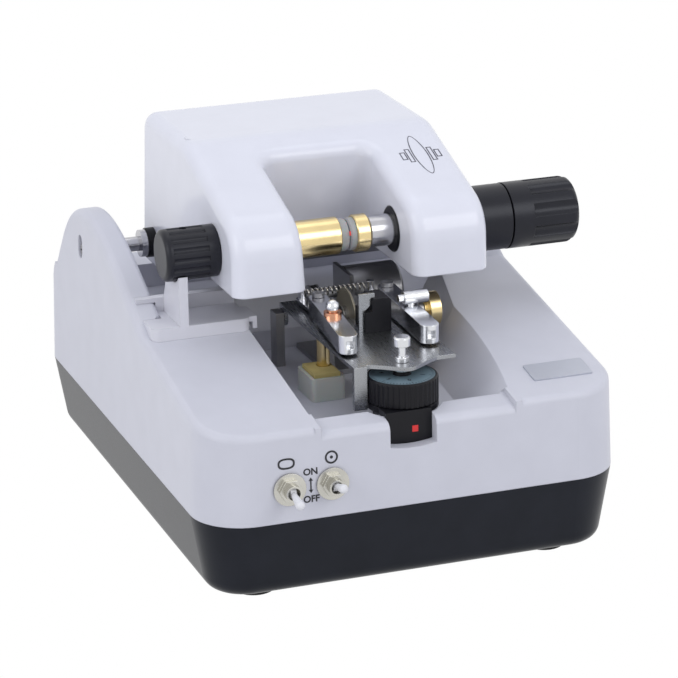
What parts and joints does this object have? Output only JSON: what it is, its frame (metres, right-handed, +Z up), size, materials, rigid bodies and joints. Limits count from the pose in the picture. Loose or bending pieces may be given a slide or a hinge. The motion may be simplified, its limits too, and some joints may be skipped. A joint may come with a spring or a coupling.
{
  "type": "lens groover",
  "caption": "Bench lens groover: a hinged head clamps and turns a spectacle lens between two pads above a small grinding wheel, with spring guide arms and a depth dial.",
  "frame": {"origin": "middle of the bounding box, at the underside of the feet", "axes": "+X to the operator's right along the lens axis, +Y to the rear along the longest extent, +Z up"},
  "size_m": [0.178, 0.2492, 0.1443],
  "materials": {
    "cover_plastic": "fine texture",
    "base_plastic": "fine texture",
    "feet_rubber": "matte",
    "zinc_steel": "zinc plated",
    "white_plastic": "semi gloss",
    "bright_steel": "ground",
    "black_plastic": "matte",
    "head_paint": "gloss",
    "black_steel": "blackened",
    "brass": "turned",
    "pad_rubber": "matte",
    "belt_rubber": "matte",
    "motor_steel": "plain",
    "aluminium": "milled",
    "wheel_grit": "gritty",
    "stage_steel": "brushed",
    "milky_plastic": "milky",
    "sponge_foam": "porous",
    "chrome": "polished",
    "copper": "copper, turned",
    "spring_steel": "drawn wire",
    "switch_case": "moulded",
    "label_foil": "satin",
    "board_green": "laminate"
  },
  "bodies": {
    "case": {"base_pan": "base_plastic", "upper_cover": "cover_plastic", "rubber_feet": "feet_rubber", "case_screws": "zinc_steel", "knob_rest_bracket": "white_plastic", "hinge_shaft": "bright_steel", "hinge_shaft_screws": "zinc_steel", "hinge_collars": "black_plastic", "stage_pivots": "aluminium", "plate_standoffs": "brass", "water_box": "milky_plastic", "sponge": "sponge_foam", "wheel_bracket": "aluminium", "wheel_motor": "motor_steel", "wheel_belt": "belt_rubber", "index_block": "black_plastic", "toggle_bodies": "switch_case", "toggle_nuts": "chrome", "label_plate": "label_foil", "transformer": "motor_steel", "circuit_board": "board_green", "power_gland": "black_plastic", "position_post": "aluminium"},
    "head": {"head_shell": "head_paint", "head_base_plate": "zinc_steel", "head_screws": "zinc_steel", "hinge_bushes": "black_plastic", "lens_motor": "motor_steel", "spindle_bushes": "black_plastic", "drive_belt": "belt_rubber", "quill_bush": "black_plastic", "clamp_collar": "black_plastic"},
    "lens_drive": {"lens_spindle": "bright_steel", "left_knob": "black_plastic", "left_knob_screw": "black_steel", "left_chuck": "brass", "left_pad": "pad_rubber"},
    "lens_motor_rotor": {"lens_motor_pulley": "aluminium"},
    "quill": {"quill_shaft": "bright_steel"},
    "clamp_knob": {"clamp_knob": "black_plastic"},
    "right_chuck": {"right_chuck": "brass", "right_pad": "pad_rubber"},
    "wheel": {"wheel_spindle": "bright_steel", "grinding_wheel": "wheel_grit"},
    "wheel_motor_rotor": {"wheel_motor_pulley": "aluminium"},
    "depth_dial": {"depth_dial": "black_plastic"},
    "depth_screw": {"depth_screw": "chrome"},
    "stage": {"stage_plate": "stage_steel", "slide_block": "black_plastic", "lens_rest": "stage_steel", "stage_screws": "zinc_steel", "arm_spring": "spring_steel"},
    "left_arm": {"left_arm": "chrome", "guide_ball": "chrome", "guide_ring": "copper"},
    "right_arm": {"right_arm": "chrome"},
    "position_knob": {"position_knob": "brass"},
    "lens_toggle": {"lens_toggle": "white_plastic"},
    "wheel_toggle": {"wheel_toggle": "white_plastic"}
  },
  "joints": [
    {"name": "head_tilt", "type": "hinge", "parent": "case", "child": "head", "pos_m": [-0.0065, 0.05764, 0.092], "axis": [-1, 0, 0], "range_deg": [0, 60]},
    {"name": "lens_turn", "type": "hinge", "parent": "head", "child": "lens_drive", "pos_m": [-0.0365, -0.02486, 0.1118], "axis": [1, 0, 0], "continuous": true},
    {"name": "lens_motor_turn", "type": "hinge", "parent": "head", "child": "lens_motor_rotor", "pos_m": [-0.0415, 0.03364, 0.118], "axis": [1, 0, 0], "continuous": true},
    {"name": "clamp_turn", "type": "hinge", "parent": "head", "child": "clamp_knob", "pos_m": [0.0735, -0.02486, 0.1118], "axis": [1, 0, 0], "range_deg": [0, 1620]},
    {"name": "quill_slide", "type": "slide", "parent": "head", "child": "quill", "axis": [1, 0, 0], "range_m": [0, 0.009]},
    {"name": "right_chuck_turn", "type": "hinge", "parent": "quill", "child": "right_chuck", "pos_m": [0.0035, -0.02486, 0.1118], "axis": [1, 0, 0], "continuous": true},
    {"name": "wheel_turn", "type": "hinge", "parent": "case", "child": "wheel", "pos_m": [-0.0065, -0.02486, 0.079], "axis": [1, 0, 0], "continuous": true},
    {"name": "wheel_motor_turn", "type": "hinge", "parent": "case", "child": "wheel_motor_rotor", "pos_m": [-0.0065, 0.00364, 0.079], "axis": [1, 0, 0], "continuous": true},
    {"name": "dial_turn", "type": "hinge", "parent": "case", "child": "depth_dial", "pos_m": [-0.0065, -0.09186, 0.072], "axis": [0, 0, 1], "range_deg": [0, 300]},
    {"name": "screw_lift", "type": "slide", "parent": "case", "child": "depth_screw", "axis": [0, 0, 1], "range_m": [0, 0.0015]},
    {"name": "stage_tilt", "type": "hinge", "parent": "case", "child": "stage", "pos_m": [-0.0005, -0.01086, 0.0765], "axis": [-1, 0, 0], "range_deg": [0, 1.07]},
    {"name": "left_arm_swing", "type": "hinge", "parent": "stage", "child": "left_arm", "pos_m": [-0.0172, -0.03036, 0.084], "axis": [0, 0, -1], "range_deg": [0, 10], "deforming": ["arm_spring"]},
    {"name": "right_arm_swing", "type": "hinge", "parent": "stage", "child": "right_arm", "pos_m": [0.0117, -0.02796, 0.084], "axis": [0, 0, 1], "range_deg": [0, 10]},
    {"name": "position_turn", "type": "hinge", "parent": "case", "child": "position_knob", "pos_m": [0.0235, -0.03936, 0.0828], "axis": [1, 0, 0], "range_deg": [0, 270]},
    {"name": "lens_switch", "type": "hinge", "parent": "case", "child": "lens_toggle", "pos_m": [-0.0574, -0.11396, 0.0462], "axis": [-1, 0, 0], "range_deg": [0, 25]},
    {"name": "wheel_switch", "type": "hinge", "parent": "case", "child": "wheel_toggle", "pos_m": [-0.041, -0.11396, 0.0462], "axis": [1, 0, 0], "range_deg": [0, 25]}
  ],
  "couplings": [
    {"joint": "lens_motor_turn", "follows": "lens_turn", "ratio": 1.87},
    {"joint": "right_chuck_turn", "follows": "lens_turn", "ratio": 1},
    {"joint": "clamp_turn", "follows": "quill_slide", "rad_per_m": 3141.6},
    {"joint": "wheel_motor_turn", "follows": "wheel_turn", "ratio": 0.896},
    {"joint": "screw_lift", "follows": "dial_turn", "m_per_rad": 0.0002864},
    {"joint": "stage_tilt", "follows": "dial_turn", "ratio": 0.003537},
    {"joint": "right_arm_swing", "follows": "left_arm_swing", "ratio": 1}
  ]
}
